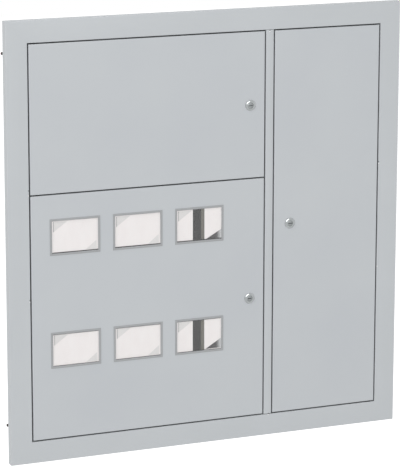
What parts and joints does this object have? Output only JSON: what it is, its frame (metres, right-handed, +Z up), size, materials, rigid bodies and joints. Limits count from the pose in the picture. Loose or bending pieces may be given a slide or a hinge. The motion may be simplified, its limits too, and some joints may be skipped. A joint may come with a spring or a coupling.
{
  "type": "floor distribution board",
  "caption": "Flush mounted storey meter board: shallow steel casing behind a wide folded frame, plain upper door, windowed meter door and tall service door with cam locks.",
  "frame": {"origin": "centre of the casing's rear face, which lies against the back of the wall niche", "axes": "+Z up, +Y into the wall, +X to the right as seen by someone facing the doors"},
  "size_m": [0.95, 0.1427, 1],
  "materials": {
    "frame_paint": "fine textured powder coat, light grey",
    "casing_paint": "powder coat, light grey",
    "door_paint": "fine textured powder coat, light grey",
    "seal_rubber": "mid grey, matt",
    "pane": "clear acrylic with a pale rear film",
    "nickel": "nickel plated, satin bright",
    "plug_metal": "darker plated",
    "zinc_steel": "zinc plated",
    "galvanised": "galvanised",
    "plate_paint": "white grey paint",
    "brass": "plain",
    "blue_plastic": "moulded",
    "green_plastic": "moulded"
  },
  "bodies": {
    "board": {"front_frame": "frame_paint", "door_post": "frame_paint", "casing": "casing_paint", "top_plate": "casing_paint", "bottom_plate": "casing_paint", "compartment_wall": "casing_paint", "meter_shelf": "casing_paint", "hinge_pin_upper": "zinc_steel", "hinge_pin_meter": "zinc_steel", "hinge_pin_centre": "zinc_steel", "hinge_pin_service_top": "zinc_steel", "hinge_pin_service_bottom": "zinc_steel", "hinge_bracket": "zinc_steel", "wall_tie_left_low": "zinc_steel", "wall_tie_left_high": "zinc_steel", "wall_tie_right_low": "zinc_steel", "wall_tie_right_high": "zinc_steel", "rail_upright_left": "galvanised", "rail_upright_right": "galvanised", "din_rail_low": "galvanised", "din_rail_high": "galvanised", "meter_plate_1": "plate_paint", "meter_plate_2": "plate_paint", "meter_plate_3": "plate_paint", "service_plate": "plate_paint", "neutral_bar": "brass", "earth_bar": "brass", "neutral_holder": "blue_plastic", "earth_holder": "green_plastic"},
    "upper_door": {"upper_door": "door_paint", "lock_body_upper": "nickel", "lock_nut_upper": "zinc_steel"},
    "meter_door": {"meter_door": "door_paint", "lock_body_meter": "nickel", "lock_nut_meter": "zinc_steel", "window_seal_1": "seal_rubber", "window_seal_2": "seal_rubber", "window_seal_3": "seal_rubber", "window_seal_4": "seal_rubber", "window_seal_5": "seal_rubber", "window_seal_6": "seal_rubber", "window_pane_1": "pane", "window_pane_2": "pane", "window_pane_3": "pane", "window_pane_4": "pane", "window_pane_5": "pane", "window_pane_6": "pane"},
    "service_door": {"service_door": "door_paint", "lock_body_service": "nickel", "lock_nut_service": "zinc_steel"},
    "upper_cam": {"lock_plug_upper": "plug_metal", "lock_cam_upper": "zinc_steel", "cam_screw_upper": "zinc_steel"},
    "meter_cam": {"lock_plug_meter": "plug_metal", "lock_cam_meter": "zinc_steel", "cam_screw_meter": "zinc_steel"},
    "service_cam": {"lock_plug_service": "plug_metal", "lock_cam_service": "zinc_steel", "cam_screw_service": "zinc_steel"}
  },
  "joints": [
    {"name": "upper_door_hinge", "type": "hinge", "parent": "board", "child": "upper_door", "pos_m": [-0.4125, -0.134, 0.28059], "axis": [0, 0, -1], "range_deg": [0, 110]},
    {"name": "meter_door_hinge", "type": "hinge", "parent": "board", "child": "meter_door", "pos_m": [-0.4125, -0.134, -0.16841], "axis": [0, 0, -1], "range_deg": [0, 110]},
    {"name": "service_door_hinge", "type": "hinge", "parent": "board", "child": "service_door", "pos_m": [0.4125, -0.134, 0], "axis": [0, 0, 1], "range_deg": [0, 110]},
    {"name": "upper_cam_turn", "type": "hinge", "parent": "upper_door", "child": "upper_cam", "pos_m": [0.10143, -0.14, 0.28059], "axis": [0, -1, 0], "range_deg": [0, 90]},
    {"name": "meter_cam_turn", "type": "hinge", "parent": "meter_door", "child": "meter_cam", "pos_m": [0.10143, -0.14, -0.16841], "axis": [0, -1, 0], "range_deg": [0, 90]},
    {"name": "service_cam_turn", "type": "hinge", "parent": "service_door", "child": "service_cam", "pos_m": [0.20142, -0.14, 0], "axis": [0, 1, 0], "range_deg": [0, 90]}
  ]
}
